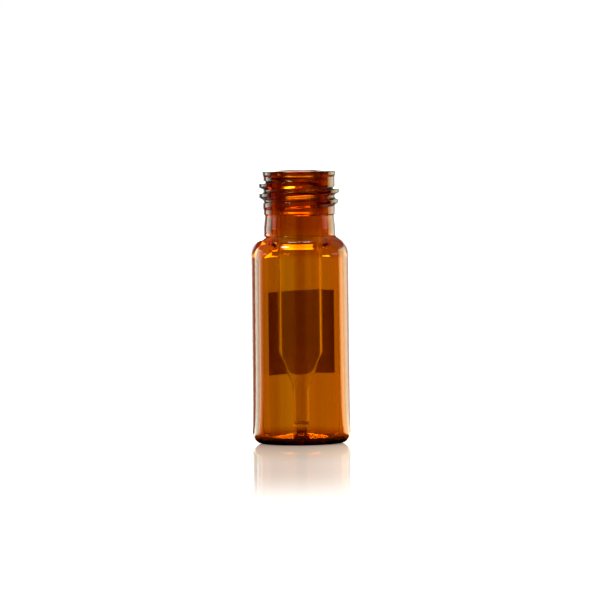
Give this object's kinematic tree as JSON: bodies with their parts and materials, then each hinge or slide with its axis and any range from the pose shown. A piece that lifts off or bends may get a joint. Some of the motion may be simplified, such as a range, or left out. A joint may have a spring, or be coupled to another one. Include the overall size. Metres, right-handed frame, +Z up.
{
  "type": "sample vial",
  "caption": "Small amber glass screw-neck sample vial with a clear tapered micro-insert inside and a blank writing patch on its back, open at the top.",
  "frame": {"origin": "on the vial's axis, in the plane of the ring that the foot stands on", "axes": "+Z up along the vial's axis; the writing patch is on the +Y side and -Y faces the viewer"},
  "size_m": [0.0116, 0.0116, 0.032],
  "materials": {
    "amber_glass": "fire-polished borosilicate glass, amber through its whole thickness",
    "clear_glass": "clear drawn borosilicate glass with a fire-polished lip",
    "white_enamel": "white screen-printed ceramic enamel, fired and matt"
  },
  "bodies": {
    "root": {"vial": "amber_glass", "insert": "clear_glass", "writing_patch": "white_enamel"}
  },
  "joints": []
}
